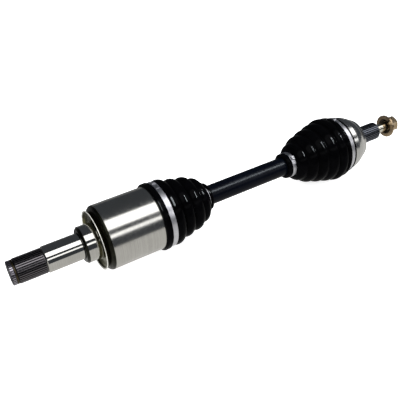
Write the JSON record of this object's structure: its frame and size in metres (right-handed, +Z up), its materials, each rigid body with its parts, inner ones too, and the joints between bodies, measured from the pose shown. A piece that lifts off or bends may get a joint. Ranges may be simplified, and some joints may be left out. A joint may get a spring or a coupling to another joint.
{
  "type": "cv axle",
  "caption": "Automotive drive half-shaft: splined stub and plunging tripod joint inboard, bar shaft, rubber boots, ball-type fixed joint and splined stub with hub bolt at the wheel end.",
  "frame": {"origin": "middle of the polished journal of the inboard stub, on the axle's axis", "axes": "+X along the axle from the gearbox end to the wheel end, +Z up, along trunnion 1 of the tripod"},
  "size_m": [0.6215, 0.0948, 0.0948],
  "materials": {
    "housing_steel": "turned and ground, bright, with black forged shoulder and spline",
    "bell_steel": "turned and ground, bright",
    "bearing_steel": "ground bearing steel",
    "cage_steel": "case-hardened, satin",
    "spring_steel": "black spring steel",
    "spring_brass": "dull brass-plated wire",
    "yellow_zinc": "olive-yellow zinc chromate",
    "yellow_bolt": "yellow-brown zinc chromate",
    "black_shaft": "satin black paint",
    "clamp_steel": "bright stainless band",
    "boot_rubber": "smooth black rubber"
  },
  "bodies": {
    "housing": {"inner_housing": "housing_steel", "stub_circlip": "spring_brass", "dust_shield": "yellow_zinc", "housing_stop_ring": "spring_steel", "inner_boot": "boot_rubber", "inner_boot_clamp_large": "clamp_steel"},
    "bearing_1": {"needle_set_1": "bearing_steel"},
    "roller_1": {"tripod_roller_1": "bearing_steel"},
    "shaft": {"axle_shaft": "black_shaft", "tripod_spider": "bearing_steel", "needle_set_2": "bearing_steel", "needle_set_3": "bearing_steel", "roller_washers": "spring_steel", "roller_circlips": "spring_steel", "spider_snap_ring": "spring_steel", "inner_boot_clamp_small": "clamp_steel", "outer_boot_clamp_small": "clamp_steel", "inner_race": "bearing_steel", "race_circlip": "spring_steel", "outer_boot": "boot_rubber"},
    "roller_2": {"tripod_roller_2": "bearing_steel"},
    "roller_3": {"tripod_roller_3": "bearing_steel"},
    "cage": {"ball_cage": "cage_steel", "ball_1": "bearing_steel", "ball_2": "bearing_steel", "ball_3": "bearing_steel", "ball_4": "bearing_steel", "ball_5": "bearing_steel", "ball_6": "bearing_steel"},
    "wheel_stub": {"outer_race": "bell_steel", "outer_boot_clamp_large": "clamp_steel", "hub_bolt": "yellow_bolt", "hub_bolt_washer": "yellow_bolt"}
  },
  "joints": [
    {"name": "plunge", "type": "slide", "parent": "housing", "child": "bearing_1", "axis": [1, 0, 0], "range_m": [-0.007, 0.007], "deforming": ["inner_boot"]},
    {"name": "inner_bend", "type": "hinge", "parent": "bearing_1", "child": "shaft", "pos_m": [0.098, 0, 0], "axis": [0, 0, 1], "range_deg": [-18, 18], "deforming": ["inner_boot"]},
    {"name": "roller_1_spin", "type": "hinge", "parent": "bearing_1", "child": "roller_1", "pos_m": [0.098, 0, 0], "axis": [0, 0, 1], "range_deg": [-26, 26]},
    {"name": "roller_2_spin", "type": "hinge", "parent": "shaft", "child": "roller_2", "pos_m": [0.098, 0, 0], "axis": [0, -0.866, -0.5], "range_deg": [-26, 26]},
    {"name": "roller_3_spin", "type": "hinge", "parent": "shaft", "child": "roller_3", "pos_m": [0.098, 0, 0], "axis": [0, 0.866, -0.5], "range_deg": [-26, 26]},
    {"name": "outer_bend", "type": "hinge", "parent": "shaft", "child": "wheel_stub", "pos_m": [0.443, 0, 0], "axis": [0, 0, 1], "range_deg": [-45, 45], "deforming": ["outer_boot"]},
    {"name": "cage_tilt", "type": "hinge", "parent": "shaft", "child": "cage", "pos_m": [0.443, 0, 0], "axis": [0, 0, 1], "range_deg": [-22.6, 22.6]}
  ],
  "couplings": [
    {"joint": "roller_1_spin", "follows": "plunge", "rad_per_m": 64.516},
    {"joint": "roller_2_spin", "follows": "plunge", "rad_per_m": 64.516},
    {"joint": "roller_3_spin", "follows": "plunge", "rad_per_m": 64.516},
    {"joint": "cage_tilt", "follows": "outer_bend", "ratio": 0.5}
  ]
}
